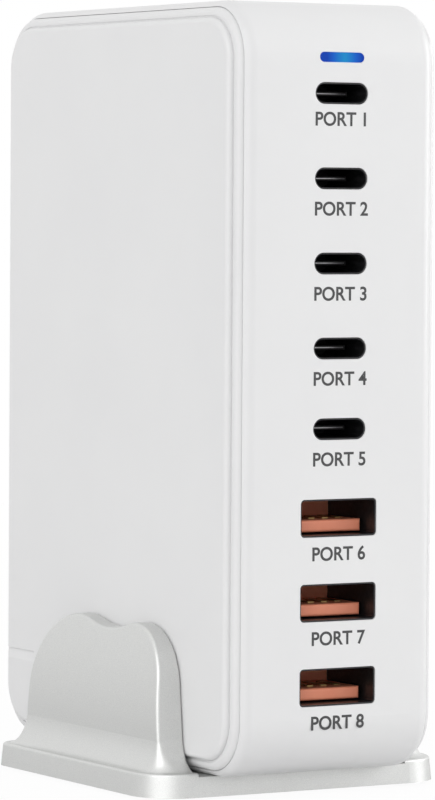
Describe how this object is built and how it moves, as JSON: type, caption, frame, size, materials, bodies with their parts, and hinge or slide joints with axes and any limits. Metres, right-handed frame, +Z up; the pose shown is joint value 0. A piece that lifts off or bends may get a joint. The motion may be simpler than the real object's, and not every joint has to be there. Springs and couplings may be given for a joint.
{
  "type": "multi-port usb desktop charger",
  "caption": "Upright desktop charger: a slim rounded tower with a column of USB ports and a status light on its front, held by a separate saddle-shaped stand.",
  "frame": {"origin": "on the surface that it stands on, under the middle of the stand", "axes": "+Z up, -Y the side with the ports, +X to the right when the ports are looked at"},
  "size_m": [0.05, 0.0706, 0.1138],
  "materials": {
    "white_shell": "satin pearl white moulding",
    "silver_stand": "silver painted moulding",
    "blue_window": "clear window, lit blue",
    "black_rubber": "matt",
    "connector_steel": "nickel plated",
    "black_insulator": "moulded",
    "orange_insulator": "moulded",
    "contact_brass": "plated",
    "circuit_board": "green solder mask",
    "clear_film": "thin insulating film",
    "aluminium_sheet": "rolled",
    "aluminium_can": "drawn",
    "blue_coating": "dipped resin",
    "yellow_case": "moulded case",
    "yellow_tape": "taped winding",
    "ferrite": "sintered",
    "copper_winding": "enamelled wire",
    "black_sleeve": "shrink sleeve"
  },
  "bodies": {
    "root": {"board_link": "black_insulator", "board_screws": "connector_steel", "bridge_rectifier": "black_insulator", "buck_inductor_1": "ferrite", "buck_inductor_2": "ferrite", "buck_inductor_3": "ferrite", "buck_inductor_4": "ferrite", "buck_inductor_5": "ferrite", "buck_inductor_6": "ferrite", "buck_inductor_7": "ferrite", "buck_inductor_8": "ferrite", "bulk_capacitor_1": "black_sleeve", "bulk_capacitor_2": "black_sleeve", "bulk_capacitor_3": "black_sleeve", "choke_core": "ferrite", "choke_windings": "copper_winding", "controller_chips": "black_insulator", "fuse": "black_insulator", "heat_sink": "aluminium_sheet", "heat_spreader": "aluminium_sheet", "housing_belt": "white_shell", "inlet_body": "black_insulator", "inlet_pins": "contact_brass", "insulating_sheet": "clear_film", "left_cover": "white_shell", "light_pipe": "blue_window", "output_capacitor_1": "aluminium_can", "output_capacitor_2": "aluminium_can", "output_capacitor_3": "aluminium_can", "pfc_core": "ferrite", "pfc_winding": "copper_winding", "port_board": "circuit_board", "power_board": "circuit_board", "power_transistors": "black_insulator", "right_cover": "white_shell", "rubber_feet": "black_rubber", "stand": "silver_stand", "status_light": "blue_window", "surge_varistor": "blue_coating", "transformer_core": "ferrite", "transformer_winding": "yellow_tape", "usb_a_contacts": "contact_brass", "usb_a_shell_1": "connector_steel", "usb_a_shell_2": "connector_steel", "usb_a_shell_3": "connector_steel", "usb_a_tongue_1": "orange_insulator", "usb_a_tongue_2": "orange_insulator", "usb_a_tongue_3": "orange_insulator", "usb_c_shell_1": "connector_steel", "usb_c_shell_2": "connector_steel", "usb_c_shell_3": "connector_steel", "usb_c_shell_4": "connector_steel", "usb_c_shell_5": "connector_steel", "usb_c_tongue_1": "black_insulator", "usb_c_tongue_2": "black_insulator", "usb_c_tongue_3": "black_insulator", "usb_c_tongue_4": "black_insulator", "usb_c_tongue_5": "black_insulator", "x_capacitor": "yellow_case", "y_capacitor": "blue_coating"}
  },
  "joints": []
}
